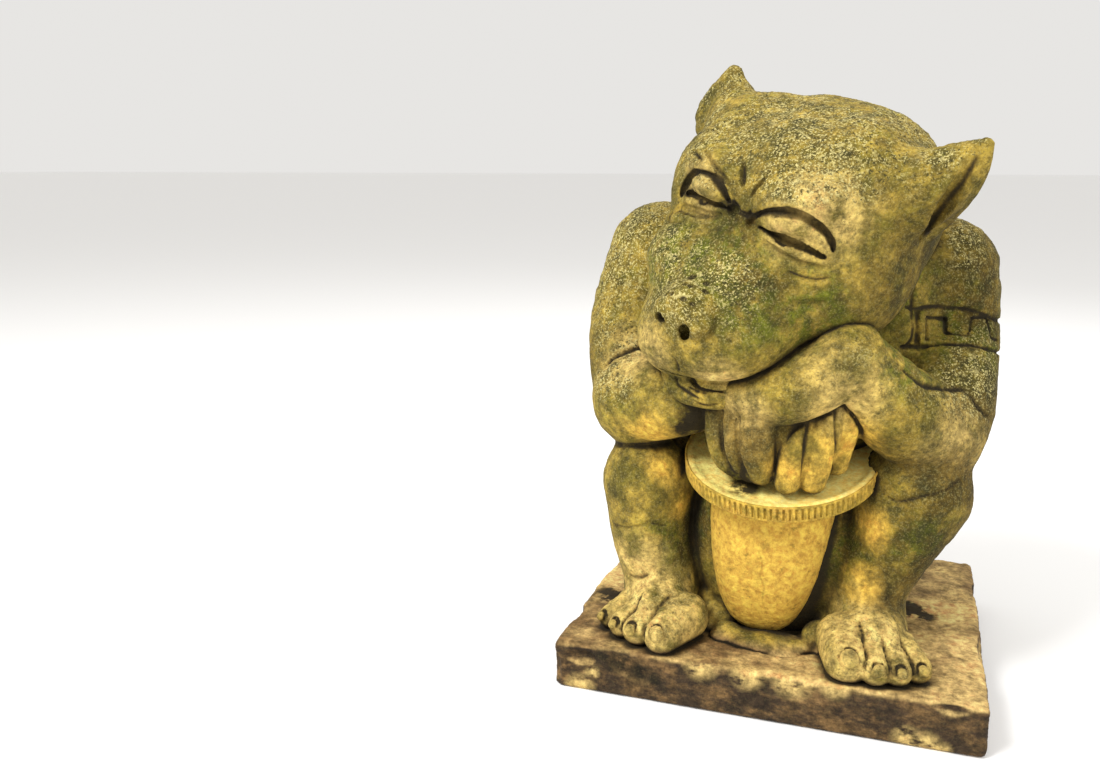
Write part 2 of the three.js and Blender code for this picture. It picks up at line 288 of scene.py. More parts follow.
face = Clay((-200, -240, -190), (200, 140, 140), head["grain"])
face.lump((0, 12, -2), (122, 114, 102), soft=0, square=2.5)  # skull
face.lump((0, -38, 26), (106, 60, 60))  # forehead
face.lump((80, 8, 40), (42, 48, 42), soft=18)  # roots of the ears
face.lump((-84, 14, 52), (46, 58, 46), soft=20)
face.lump((54, 0, 58), (46, 60, 44), soft=14)  # corner of the crown
face.lump((0, -92, -46), (92, 104, 68), (12, 0, 0), soft=26)  # muzzle
face.lump((-4, -150, -68), (82, 66, 52), (12, 0, 0), soft=24)  # upper lip
face.lump((80, -34, -44), (52, 70, 66), soft=26)  # cheeks
face.lump((-96, -34, -44), (52, 70, 66), soft=26)
face.lump((-92, -40, 20), (46, 60, 60), soft=26)
face.lump((-63, -112, -34), (55, 54, 48), soft=20)
face.lump((-92, -90, -4), (20, 22, 18), soft=14)
face.lump((-30, -172, -88), (50, 46, 38), soft=16)
for side in (1, -1):  # brows
    face.lump((side * 54, -80, 58), (42, 26, 20), (0, side * -10, side * 24), soft=18)
face.lump((2, -188, -28), (31, 24, 24), soft=12)  # nose
face.lump((-6, -156, -124), (66, 56, 27), (12, 0, 0), soft=3)  # lower jaw
face.lump((12, -98, -102), (62, 66, 40), soft=10)
for stations, soft in head["ears"]:
    face.limb(stations, soft, steps=10)
for stations, soft in head["earHollows"]:
    face.limb(stations, soft, cut=True, steps=10)
face.shadeLine(head["earShadow"], depth=0, reach=5.0, shadeStrength=0.7)

eyes = [
    {  # the eye on the figure's left
        "socket": [(10, -107, 34), (14, -108, 40), (33, -110, 50), (49, -109, 56), (63, -105, 57),
                   (73, -99, 54), (81, -91, 44), (89, -85, 33), (94, -84, 23), (94, -85, 14)],
        "lid": [(24, -106, 38), (44, -106, 41), (62, -102, 39), (78, -93, 29)],
        "slit": [(20, -108, 33), (36, -107, 30), (53, -103, 25), (69, -97, 20), (83, -91, 13), (90, -88, 10)],
        "ball": [(36, -104, 28), (53, -102, 24), (69, -96, 18), (80, -91, 13)],
        "lower": [(28, -108, 27), (36, -109, 23), (49, -107, 18), (63, -102, 12), (76, -96, 8), (90, -89, 5)],
        "under": [(33, -110, 20), (47, -108, 14), (61, -103, 8), (73, -99, 4), (88, -90, 2)],
        "bag": [(66, -112, -1), (75, -109, -4), (88, -101, -7), (99, -92, -5)],
        "fold": [(81, -123, -25), (91, -112, -29), (100, -102, -28)],
        "pupil": (50, -104, 24),
        "corner": (12, -108, 34),
    },
    {  # the eye on the figure's right
        "socket": [(-94, -98, 26), (-92, -98, 34), (-86, -98, 46), (-74, -101, 58), (-61, -105, 64),
                   (-46, -106, 67), (-34, -105, 64), (-22, -107, 54), (-14, -106, 42)],
        "lid": [(-78, -100, 46), (-62, -103, 52), (-46, -106, 54), (-30, -107, 48)],
        "slit": [(-87, -101, 33), (-76, -102, 36), (-60, -103, 37), (-43, -106, 39), (-28, -107, 40),
                 (-15, -107, 38)],
        "ball": [(-76, -100, 31), (-62, -101, 33), (-46, -104, 35)],
        "lower": [(-86, -101, 26), (-76, -102, 27), (-60, -103, 28), (-45, -105, 30), (-28, -107, 34)],
        "under": [(-84, -103, 19), (-67, -104, 18), (-46, -107, 22), (-28, -108, 29)],
        "bag": [(-96, -100, 2), (-90, -105, -5), (-76, -110, -3), (-62, -110, 3)],
        "fold": [(-90, -110, -14), (-78, -116, -16), (-66, -118, -12)],
        "pupil": (-60, -102, 34),
        "corner": (-14, -107, 38),
    },
]
socketSteps, slitSteps, pupilRing = 28, 24, (4.6, 4.0)
socketShade = 8.5 * np.sin(np.pi * np.linspace(0.1, 0.96, socketSteps)) ** 0.5


def carveEye(eye):
    face.bead(eye["bag"], width=8, proud=2.0, soft=8)
    # painted shade in the socket and the slit
    face.shadeLine(eye["socket"], depth=4.5, reach=socketShade, shadeStrength=0.55, steps=socketSteps)
    face.shadeLine(eye["slit"], depth=3, reach=7.0, shadeStrength=0.62, steps=slitSteps)
    face.groove(eye["socket"], width=5.0, depth=3.0, soft=3, ends=0.2, shadeStrength=0, steps=socketSteps)
    face.bead(eye["lid"], width=12, proud=7.5, soft=2.5)
    face.bead(eye["lower"], width=4.0, proud=3.0, soft=3)
    face.groove(eye["under"], width=1.8, depth=0.4, soft=5, shadeStrength=0.3)
    face.groove(eye["slit"], width=4.8, depth=2.6, soft=1, shadeStrength=0)
    face.bead(eye["ball"], width=6.5, proud=-1.8, soft=1)
    corner = np.array(eye["corner"], float)
    face.lump(face.settle(corner[None], 1)[0], (6, 7, 6), soft=2, cut=True)
    # painted shade in the inner corner
    face.shadeLine([corner - (2, 0, 1), corner + (2, 0, 1)], depth=5, reach=9, shadeStrength=0.6, steps=4)
    pupil = face.settle(np.array(eye["pupil"], float)[None])[0]
    face.lump(pupil, (2.4, 4, 2.4), soft=0.5, cut=True)
    wide, tall = pupilRing
    ring = [pupil + (wide * math.cos(a), 0, tall * math.sin(a)) for a in np.linspace(0, 2 * math.pi, 12)]
    face.groove(ring, width=1.3, depth=0.2, ends=1, shadeStrength=0.9)
    face.groove(eye["bag"], width=1.8, depth=0.6, soft=5, shadeStrength=0.6)
    face.groove(eye["fold"], width=2.0, depth=0.8, soft=6, shadeStrength=0.3)


for eye in eyes:
    carveEye(eye)
for places, width, depth in head["creases"]:
    face.groove(places, width, depth + head["creaseSink"], soft=3, shadeStrength=0.7)

for side in (1, -1):  # nose pad
    face.lump((side * 18, -196, -36), (19, 19, 17), soft=3)
for stations in head["nostrils"]:
    face.limb(stations, 1.5, cut=True)
    # painted shade inside the nostril
    hole = np.array([(x, y * 0.9, z) for x, y, z, reach in stations])
    face.shadeMarks.append((hole, np.full(2, head["nostrilShade"]), 1.0))
face.groove([(40, -188, -24), (38, -194, -38), (31, -201, -47)], 1.8, 0.4, soft=4, shadeStrength=0.3)  # its wing
for side in (1, -1):  # pits along the bridge
    for x, y, z in head["nosePits"]:
        pit = face.settle([(side * x, y, z)])[0]
        face.lump(pit, (3.2, 3.2, 2.8), soft=1.5, cut=True)
        # painted shade in the pit
        face.shadeMarks.append((np.array([pit - (1, 0, 0), pit + (1, 0, 0)]), np.full(2, head["pitShade"]), 0.8))

face.groove(head["mouth"], width=2.4, depth=2.4, soft=1, steps=40, shadeStrength=1.0)
for places, width, depth, shadeStrength in head["lipLines"]:
    face.groove(places, width, depth, shadeStrength=shadeStrength)
print("head sculpted")


# Drum: a milled disc tipped forward on a keg, whose meshes are made after the body's

drum = {
    "place": (0, -80, 208),
    "radius": 106,
    "rimHeight": 18,
    "lean": 18,
    "ribs": 104,
    "slotMargin": 1.9,
    "slotDepth": 2.2,
    "slotStep": 0.3,
    "edgeRound": (1.2, 0.9),  # how far in, how far up
    "edgeBand": 6,
    "plateDrop": (1.5, -1.4),
    "plateRings": 15,
    "plateRingStep": 6,
    "kegPlace": (-3, -80, 176),
    "kegSize": (70, 63, 178),
    "kegSquare": 2.6,
    "kegShift": -9,  # the foot stands this far towards the figure's right
    "kegTaper": 0.08,
    "kegCell": 1.8,
    "staves": {"spacing": 0.42, "depth": 0.012, "width": 0.05},
    "cracks": [
        [(-12, -142, 112), (-8, -142, 96), (-10, -142, 82), (-5, -142, 68), (-7, -140, 52), (-2, -138, 30)],
        [(19, -142, 160), (22, -142, 146), (19, -142, 130), (23, -142, 112)],
        [(-42, -138, 100), (-46, -138, 84), (-42, -136, 68)],
        [(-34, -140, 60), (-20, -142, 64), (-8, -142, 60)],
    ],
}


# Body: trunk, limbs, hands and feet in one field

body = {
    "grain": 2.2,
    "mostTriangles": 195000,
    "box": ((-256, -240, -14), (256, 226, 580)),
    "nailTilt": -35,
    "flesh": [(-14, -158, 302, 13), (10, -152, 316, 14), (33, -138, 330, 14), (56, -138, 342, 14),
              (80, -134, 350, 12)],
    "rubble": [  # place, size
        ((-60, -92, 10), (22, 20, 19)), ((-74, -72, 18), (18, 20, 22)), ((-44, -118, 3), (20, 14, 11)),
        ((-22, -136, -2), (20, 13, 9)), ((6, -142, -3), (24, 12, 8)), ((34, -130, 0), (20, 13, 10)),
        ((54, -108, 8), (20, 18, 18)), ((64, -84, 14), (18, 18, 24)), ((-50, -128, -2), (16, 12, 8)),
        ((22, -148, -4), (18, 10, 7)), ((-70, -106, 2), (14, 14, 12)), ((62, -124, -1), (16, 12, 10)),
        ((-4, -116, -4), (58, 36, 12)),
    ],
}
leftArm = [([(150, 30, 396, 65), (168, 16, 336, 50), (162, -40, 264, 54), (156, -54, 236, 50)], 18),
           ([(156, -62, 240, 51), (116, -104, 272, 47), (70, -146, 330, 34)], 6),
           ([(70, -148, 328, 34), (22, -160, 296, 33), (-14, -156, 284, 28), (-46, -142, 284, 23)], 8)]
rightArm = [([(-160, 16, 408, 67), (-187, -17, 325, 53), (-166, -70, 252, 52)], 20),
            ([(-163, -84, 256, 52), (-118, -106, 266, 45), (-62, -98, 270, 34)], 6),
            ([(0, -118, 256, 30), (56, -112, 254, 28)], 10)]
legs = [([(-150, -84, 162, 50), (-144, -84, 96, 46), (-128, -84, 38, 42)], 10),
        ([(141, -66, 172, 60), (113, -76, 98, 45), (95, -82, 44, 37)], 10),
        ([(-150, -74, 161, 50), (-138, 0, 140, 62), (-126, 60, 116, 74)], 12),
        ([(138, -56, 164, 56), (130, 10, 146, 66), (120, 60, 124, 74)], 12),
        ([(-132, -84, 26, 40), (-126, -112, 24, 38), (-122, -136, 18, 34)], 12),
        ([(104, -84, 26, 40), (108, -112, 24, 38), (110, -138, 18, 34)], 12)]
fingers = [
    [(30, -148, 256, 15), (23, -158, 236, 16), (16, -160, 198, 13.5)],
    [(56, -142, 280, 14), (50, -152, 246, 16), (40, -151, 200, 14.5)],
    [(74, -132, 296, 15), (68, -134, 256, 17), (61, -127, 214, 13)],
    [(-16, -154, 278, 22), (-16, -162, 234, 19), (-12, -156, 207, 16)],
    [(-44, -144, 288, 13), (-43, -153, 238, 12), (-36, -155, 212, 11), (-24, -150, 200, 10)],
    [(-64, -134, 288, 13), (-62, -147, 240, 12), (-51, -149, 213, 11), (-36, -146, 200, 10)],
]
toes = [
    {"toe": [(-92, -136, 22, 27), (-107, -180, 16, 20)], "nail": (-109, -197, 26), "size": 9.5},
    {"toe": [(-122, -138, 24, 20), (-136, -173, 15, 17)], "nail": (-141, -187, 21), "size": 7.5},
    {"toe": [(-142, -132, 22, 18), (-157, -162, 13, 15)], "nail": (-164, -173, 18), "size": 6.5},
    {"toe": [(-156, -116, 20, 17), (-175, -144, 12, 14)], "nail": (-183, -153, 16), "size": 6},
    {"toe": [(80, -136, 22, 28), (87, -176, 18, 24)], "nail": (90, -195, 30), "size": 10},
    {"toe": [(104, -142, 24, 20), (116, -183, 15, 16)], "nail": (119, -195, 21), "size": 7.5},
    {"toe": [(122, -138, 22, 18), (137, -177, 14, 15)], "nail": (141, -188, 19), "size": 7},
    {"toe": [(138, -126, 20, 17), (156, -163, 13, 14.5)], "nail": (161, -173, 18), "size": 6.5},
]
bodyCreases = [  # places, width, depth
    ([(118, -150, 322), (123, -144, 318), (141, -130, 302), (164, -90, 290), (178, -74, 285), (192, -73, 268),
      (200, -52, 252)], 2.4, 1.0),
    ([(105, -115, 184), (124, -126, 177), (147, -125, 185), (169, -113, 191), (182, -93, 198)], 2.0, 0.6),
    ([(-205, -96, 284), (-192, -93, 302), (-178, -91, 310), (-163, -85, 316), (-146, -80, 322)], 2.6, 1.2),
    ([(-184, -113, 112), (-158, -130, 117), (-137, -131, 124), (-119, -123, 121)], 1.8, 0.2),
    ([(-190, -80, 207), (-178, -85, 206), (-146, -103, 209), (-125, -84, 207)], 1.9, 0.2),
    ([(-167, -114, 54), (-148, -127, 57), (-134, -128, 63)], 1.9, 0.2),
    ([(12, -168, 243), (21, -164, 257), (40, -158, 273), (58, -152, 288), (70, -148, 297)], 2.0, 1.4),
    ([(70, -148, 297), (78, -142, 280), (84, -138, 254), (83, -132, 229), (74, -126, 209)], 2.0, 1.4),
    ([(-55, -155, 276), (-53, -158, 240), (-44, -160, 213), (-31, -158, 200)], 2.0, 1.0),
    ([(-33, -165, 276), (-32, -168, 238), (-27, -166, 214), (-19, -162, 202)], 2.0, 1.0),
    ([(38, -164, 272), (34, -168, 252), (31, -168, 228), (29, -164, 200)], 2.0, 1.0),
    ([(60, -156, 292), (58, -158, 262), (56, -154, 230), (53, -148, 208)], 2.0, 1.0),
    ([(124, -64, 396), (125, -62, 366), (126, -56, 335), (122, -92, 318)], 2.4, 0.8),
    ([(-106, -140, 46), (-116, -160, 38), (-124, -184, 26), (-125, -190, 12)], 1.5, 1.0),  # between toes
    ([(-132, -135, 44), (-141, -155, 34), (-150, -172, 24), (-152, -176, 12)], 1.3, 1.0),
    ([(-149, -124, 40), (-158, -140, 32), (-168, -158, 22), (-170, -162, 10)], 1.3, 1.0),
    ([(94, -142, 48), (100, -160, 42), (106, -182, 32), (106, -192, 18)], 1.5, 1.0),
    ([(113, -142, 42), (120, -160, 34), (128, -184, 24), (130, -190, 12)], 1.3, 1.0),
    ([(131, -134, 38), (139, -150, 30), (150, -172, 22), (152, -178, 10)], 1.3, 1.0),
]
armband = [  # the incised band: places, width
    ([(118, -64, 372), (128, -61, 369), (142, -48, 371), (158, -29, 369), (175, -25, 368), (192, -16, 362),
      (207, -3, 354), (212, 20, 350), (206, 44, 350), (190, 60, 352)], 2.3),
    ([(118, -60, 328), (131, -53, 328), (151, -45, 327), (171, -44, 328), (186, -38, 327), (198, -29, 323),
      (210, -6, 318), (212, 20, 316), (206, 44, 316), (190, 60, 318)], 2.3),
    ([(140, -45, 335), (140, -50, 359)], 2.0), ([(140, -50, 359), (157, -27, 357)], 2.0),
    ([(157, -27, 357), (160, -36, 340)], 2.0), ([(160, -36, 340), (178, -35, 337)], 2.0),
    ([(182, -34, 337), (184, -22, 357)], 2.0), ([(184, -22, 357), (199, -12, 355)], 2.0),
    ([(199, -12, 355), (203, -18, 334)], 2.0), ([(203, -18, 334), (209, -6, 332)], 2.0),
    ([(130, -58, 366), (132, -52, 333)], 3.3),
]

figure = Clay(*body["box"], body["grain"])
figure.lump((0, 62, 208), (150, 104, 210), soft=0)  # trunk
figure.lump((-4, 52, 376), (178, 86, 96), soft=40)
figure.lump((0, 92, 86), (160, 98, 96), soft=40)
figure.lump((0, -5, 276), (120, 96, 130))
for side in (1, -1):
    figure.lump((side * 96, -10, 366), (60, 60, 90))
figure.lump((0, -20, 136), (110, 60, 110), soft=20)
figure.lump((98, 38, 62), (54, 74, 66), soft=20)  # haunches
figure.lump((-112, 30, 50), (62, 84, 80), soft=20)
for stations, soft in legs:
    figure.limb(stations, soft, steps=10)
for toe in toes:
    figure.limb(toe["toe"], 3)
figure.lump((-4, -56, 96), (98, 62, 116), soft=10)  # belly
for at, size in body["rubble"]:  # rubble round the drum
    figure.lump(at, size, (at[1] * 0.1, 0, at[0] * 0.6), soft=4)
figure.lump((12, -140, 242), (60, 24, 40), soft=4)  # palms behind the fingers
for stations, soft in leftArm[:2] + rightArm:
    figure.limb(stations, soft, steps=10)
figure.limb(body["flesh"], 8, steps=10)  # pressed up against the muzzle
for stations in fingers[:3]:
    figure.limb(stations, 2, steps=8)
figure.limb(leftArm[2][0], 6, steps=10)
for stations in fingers[3:]:
    figure.limb(stations, 2, steps=8)


def carveNail(toe):
    root, end = (np.array(place[:2]) for place in toe["toe"])
    along, size = end - root, toe["size"]
    heading = math.degrees(math.atan2(along[0], -along[1]))
    turn = (body["nailTilt"], 0, heading)
    at = figure.settle(np.array(toe["nail"], float)[None], 0.5)[0]
    figure.lump(at, (size * 1.2, 5.5, size * 1.15), turn, soft=1.5, cut=True)  # its bed
    figure.lump(at - (0, 0, 1.0), (size, 5.6, size * 0.95), turn, soft=0.5)
    along = along / np.linalg.norm(along)
    across, rise = np.array((-along[1], along[0], 0)), np.array((-along[0] * 0.57, -along[1] * 0.57, 0.82))
    arch = [at + size * 1.1 * (across * math.cos(a) + rise * math.sin(a)) for a in np.linspace(-0.3, 3.44, 7)]
    figure.groove(arch, width=1.2, depth=0.2, shadeStrength=0.5)


for toe in toes:
    carveNail(toe)
for places, width, depth in bodyCreases:
    figure.groove(places, width, depth, soft=3, shadeStrength=0.45)
for places, width in armband:
    figure.groove(places, width, depth=0.8, soft=1, ends=0.9, shadeStrength=0.45)
print("body sculpted")

# a coarser field with the drum in it, so that painted shade gathers where the hands and belly meet the drum
coarse = 2 * body["grain"]
near = Clay(*body["box"], coarse)
near.field = figure.field[::2, ::2, ::2].copy()
near.count = np.array(near.field.shape)
near.lump(drum["kegPlace"], drum["kegSize"], soft=0, square=drum["kegSquare"])
lean = turned((drum["lean"], 0, 0))
discMiddle = np.array(drum["place"]) + lean @ (0, 0, -drum["rimHeight"] / 2)
near.disc(discMiddle, drum["radius"], drum["rimHeight"] / 2, (drum["lean"], 0, 0))
kegClay = Clay((-100, -170, -14), (100, 20, 240), coarse)
kegClay.lump(drum["kegPlace"], drum["kegSize"], soft=0, square=drum["kegSquare"])
# painted shade along the keg's cracks, which are not carved
for crack in drum["cracks"]:
    kegClay.shadeLine(crack, depth=0, reach=2.2, shadeStrength=0.45)
# every line of painted shade, in the figure's frame
allShadeMarks = [(fromHead(line), reach, shadeStrength) for line, reach, shadeStrength in face.shadeMarks] + figure.shadeMarks + kegClay.shadeMarks


# Meshes

def vertexPlaces(piece):
    places = np.empty(len(piece.data.vertices) * 3)
    piece.data.vertices.foreach_get("co", places)
    return places.reshape(-1, 3)


def vertexNormals(piece):
    normals = np.empty(len(piece.data.vertices) * 3)
    piece.data.vertex_normals.foreach_get("vector", normals)
    return normals.reshape(-1, 3)


def softSpots(places, marks):  # 1 in a spot, 0 outside it
    value = np.zeros(len(places))
    for at, radius in marks:
        away = np.linalg.norm(places - np.array(at), axis=1) / radius
        value = np.maximum(value, np.clip(1.5 - away, 0, 1))
    return value


smoothPlaces = [((30, -150, 225), 55), ((-20, -160, 240), 60), ((110, -118, 120), 50),
                ((-105, -105, 130), 50)]  # millimetres above the slab: place, reach


def roughGroup(piece):  # what faces up has worn the most
    places, normals = vertexPlaces(piece) * 1000 - (0, 0, slabTop), vertexNormals(piece)
    weight = np.clip(0.45 + 0.75 * normals[:, 2], 0.25, 1)
    weighGroup(piece, "rough", weight * (1 - 0.6 * softSpots(places, smoothPlaces)))


pieces = []
headPiece = castMesh("head", face, fromHead)
bodyPiece = castMesh("body", figure)
for piece, most in ((headPiece, head["mostTriangles"]), (bodyPiece, body["mostTriangles"])):
    roughGroup(piece)
    erode(piece, "lumps", 0.045, 0.0035)
    erode(piece, "wear", 0.012, 0.0022, group="rough")
    erode(piece, "pits", 0.0045, 0.0016, depth=1, group="rough")
    thin(piece, most)
    pieces.append(piece)
print("head and body meshed")


def inset(thickness, depth=0, **settings):  # millimetres
    bpy.ops.mesh.inset(thickness=thickness / 1000, depth=depth / 1000, **settings)


def pickFaces(piece, wanted):  # leaves edit mode on with these faces
    bpy.ops.object.mode_set(mode="EDIT")
    bpy.ops.mesh.select_all(action="DESELECT")
    bpy.ops.object.mode_set(mode="OBJECT")
    for polygon in piece.data.polygons:
        polygon.select = wanted(polygon)
    bpy.ops.object.mode_set(mode="EDIT")


def milledDisc():
    bpy.ops.mesh.primitive_cylinder_add(vertices=drum["ribs"], radius=drum["radius"] / 1000,
                                        depth=drum["rimHeight"] / 1000, end_fill_type="NGON")
    disc = bpy.context.object
    disc.name = "drum"
    pickFaces(disc, lambda polygon: abs(polygon.normal.z) < 0.5)
    bpy.ops.mesh.select_mode(type="FACE")
    inset(drum["slotMargin"], use_individual=True)  # the milled slots round the rim
    inset(drum["slotStep"], -drum["slotDepth"], use_individual=True)
    pickFaces(disc, lambda polygon: abs(polygon.normal.z) > 0.9 and polygon.area > 0.001)
    inset(*drum["edgeRound"])
    inset(drum["edgeBand"])
    inset(*drum["plateDrop"])  # the plate lies inside its edge band
    for ring in range(drum["plateRings"]):  # rings enough to carry the colours
        inset(drum["plateRingStep"])
    bpy.ops.object.mode_set(mode="OBJECT")
    disc.rotation_euler = (math.radians(drum["lean"]), 0, 0)
    disc.location = Vector(tuple((discMiddle + (0, 0, slabTop)) / 1000))
    bpy.ops.object.transform_apply(location=True, rotation=True, scale=True)
    return disc


def narrowingKeg():
    bpy.ops.mesh.primitive_uv_sphere_add(segments=128, ring_count=96, radius=1)
    keg = bpy.context.object
    places = vertexPlaces(keg)
    power, staves = drum["kegSquare"], drum["staves"]
    shape = places / (np.sum(np.abs(places) ** power, axis=1) ** (1 / power))[:, None]
    angle = np.arctan2(shape[:, 0], -shape[:, 1])
    fromSeam = np.abs((angle / staves["spacing"]) % 1 - 0.5) - 0.5
    shape[:, :2] *= (1 - staves["depth"] * np.exp(-(fromSeam / staves["width"]) ** 2))[:, None]
    down = np.clip(0.1 - shape[:, 2], 0, 1)  # it narrows and leans to its foot
    shape[:, 0] *= 1 - drum["kegTaper"] * down
    shape = shape * np.array(drum["kegSize"]) + np.array(drum["kegPlace"]) + (0, 0, slabTop)
    shape[:, 0] += drum["kegShift"] * down
    keg.data.vertices.foreach_set("co", (shape / 1000).ravel())
    keg.data.update()
    activate(keg)
    bpy.ops.object.mode_set(mode="EDIT")
    bpy.ops.mesh.select_all(action="SELECT")
    through = Vector(tuple((discMiddle + (0, 0, slabTop)) / 1000))  # it ends under the disc
    bpy.ops.mesh.bisect(plane_co=through, plane_no=Vector(tuple(lean @ (0, 0, 1))), clear_outer=True,
                        use_fill=True)
    bpy.ops.object.mode_set(mode="OBJECT")
    applyModifier(keg, "REMESH", mode="VOXEL", voxel_size=drum["kegCell"] / 1000, use_smooth_shade=True)
    erode(keg, "kegWear", 0.03, 0.0018)
    erode(keg, "kegGrain", 0.006, 0.0007)
    return keg


disc, keg = milledDisc(), narrowingKeg()
activate(keg)
disc.select_set(True)
bpy.context.view_layer.objects.active = disc
bpy.ops.object.join()
pieces.append(disc)
print("drum made")


# Slab: a worn block

slab = {
    "size": (450, 402, slabTop),
    "edge": 6,
    "cell": 2.6,
    "mostTriangles": 150000,
    "chips": [  # place, size, turn
        ((-196, -204, 40), (22, 10, 10), (0, 0, 10)),
        ((-138, -203, 34), (30, 8, 12), (0, 22, 0)),
        ((-150, -206, 46), (34, 8, 8), (0, 6, 0)),
        ((-40, -206, 50), (40, 7, 7), (0, -5, 0)),
        ((90, -206, 52), (50, 6, 6), (0, 3, 0)),
        ((190, -206, 48), (22, 9, 8), (0, 0, 0)),
        ((-120, -206, 2), (40, 7, 7), (0, 4, 0)),
        ((140, -206, 1), (46, 6, 6), (0, -4, 0)),
        ((-226, -120, 48), (8, 30, 9), (0, 0, 0)),
        ((-226, 60, 50), (7, 50, 7), (0, 0, 0)),
        ((226, -60, 50), (7, 46, 7), (0, 0, 0)),
        ((228, 110, 46), (9, 24, 10), (0, 0, 0)),
        ((60, 204, 50), (50, 7, 7), (0, 0, 0)),
        ((-224, -202, 20), (8, 8, 26), (0, 0, 0)),
        ((226, 202, 30), (9, 9, 30), (0, 0, 0)),
    ],
}


def slabMesh():
    width, depth, high = (v / 1000 for v in slab["size"])
    bpy.ops.mesh.primitive_cube_add(size=1, location=(0, 0, high / 2))
    block = bpy.context.object
    block.name = "slab"
    block.scale = (width, depth, high)
    bpy.ops.object.transform_apply(location=True, rotation=True, scale=True)
    applyModifier(block, "BEVEL", width=slab["edge"] / 1000, segments=4)
    cutters = []
    for at, size, turn in slab["chips"]:
        bpy.ops.mesh.primitive_ico_sphere_add(subdivisions=3, radius=1)
        cutter = bpy.context.object
        cutter.scale = tuple(v / 1000 for v in size)
        cutter.rotation_euler = tuple(math.radians(a) for a in turn)
        cutter.location = tuple(v / 1000 for v in at)
        bpy.ops.object.transform_apply(location=True, rotation=True, scale=True)
        cutters.append(cutter)
    for cutter in cutters:
        applyModifier(block, "BOOLEAN", operation="DIFFERENCE", solver="EXACT", object=cutter)
    for cutter in cutters:
        bpy.data.objects.remove(cutter, do_unlink=True)
    applyModifier(block, "REMESH", mode="VOXEL", voxel_size=slab["cell"] / 1000, use_smooth_shade=True)
    applyModifier(block, "SMOOTH", factor=0.5, iterations=3)
    return block


slabPiece = slabMesh()
weighGroup(slabPiece, "above", np.clip(vertexPlaces(slabPiece)[:, 2] / 0.012, 0, 1))  # its underside is flat
erode(slabPiece, "slabLumps", 0.06, 0.003, group="above")
erode(slabPiece, "slabWear", 0.014, 0.0024, group="above")
erode(slabPiece, "slabPits", 0.005, 0.0014, group="above")
thin(slabPiece, slab["mostTriangles"])
pieces.append(slabPiece)
print("slab made")


# Where painted shade and highlight, dirt, moss and bare stone lie

spots = {  # millimetres above the slab: place, reach
    "clean": [((46, -160, 226), 34), ((72, -130, 240), 34), ((20, -165, 215), 22), ((104, -112, 140), 20),
              ((92, -118, 80), 20), ((-110, -105, 150), 18), ((-136, -130, 236), 24),
              ((-118, -120, 190), 20)],
    # darker patches: painted shade under the ears and arm, down the far side and at the back, with dark damp
    # stone
    "dampAndShade": [((165, -80, 190), 70), ((150, -90, 110), 60), ((120, -100, 60), 30), ((-90, -60, 120), 60),
             ((90, -60, 110), 50), ((-20, -165, 240), 36), ((200, -40, 260), 60), ((190, 0, 380), 60),
             ((-50, -160, 270), 30), ((0, 150, 120), 120), ((-200, -40, 280), 50), ((130, -100, 230), 40)],
    # paler spots: painted highlight on raised arms, hands and shins, and paler stone on the feet
    "paleAndLit": [((-125, -160, 20), 60), ((112, -160, 22), 60), ((-150, -130, 60), 40), ((-160, -90, 300), 40),
             ((60, -150, 300), 40), ((-30, -175, 260), 30), ((170, -90, 240), 40), ((150, -60, 60), 30)],
    "moss": [((-95, -60, 110), 50), ((70, -85, 110), 40), ((-120, -125, 100), 26), ((150, -120, 130), 34),
             ((120, -120, 340), 50), ((180, -30, 345), 50), ((130, -90, 400), 50), ((-60, -170, 180), 30)],
    "grime": [((-190, -60, 10), 30), ((150, 10, 10), 30), ((-92, -135, 245), 20), ((-30, -150, 196), 18)],
    "lichen": [((-190, -20, 420), 60)],
    # buff patches: worn stone low on the front, and a painted highlight along the top front edge
    "wornAndHighlight": [((-194, -203, -52), 14), ((-180, -203, -30), 7), ((150, -203, -46), 12), ((168, -203, -50), 13),
             ((182, -203, -54), 10), ((-60, -206, 2), 16), ((-10, -206, 0), 16), ((36, -206, 0), 18),
             ((78, -206, 2), 14), ((-224, -120, -52), 14)],
    "chip": [((-150, -203, -14), 15), ((-128, -203, -22), 15), ((-170, -203, -12), 10),
             ((-112, -203, -26), 8)],
}
faceSpots = {  # the same, round the head's centre
    # darker patches: painted shade under the ear and cheek and between the eyes, with dark damp stone
    "dampAndShade": [((110, -20, -40), 50), ((60, -150, 0), 30), ((0, -112, 30), 26), ((120, 20, 0), 60)],
    # paler spots: painted highlight on the lids and brows, and paler stone on the lower lip
    "paleAndLit": [((40, -190, -90), 22), ((-30, -200, -80), 24), ((62, -104, 36), 26), ((-60, -104, 46), 24),
             ((-70, -120, 60), 30), ((95, -95, 66), 46)],
    "moss": [((0, -140, 0), 50), ((50, -150, -30), 40), ((-60, -140, -20), 40), ((90, -110, -40), 40)],
    "lichen": [((0, -190, -14), 34), ((10, -170, 0), 26)],
}
# painted shade in crevices: its share on each piece, its lift and its reaches; then the rises for how open to
# the sky a place is
shadeAndSky = {
    "share": {"head": 0.6, "body": 0.85, "drum": 0.25, "slab": 1},
    "lift": {"drum": 2},  # off a surface that the coarse field blurs
    "reaches": ((2.5, 0.35), (7, 0.3), (18, 0.16), (36, 0.1)),  # millimetres, share
    "skyRises": (30, 80, 150),
    "figureTop": 575,
}


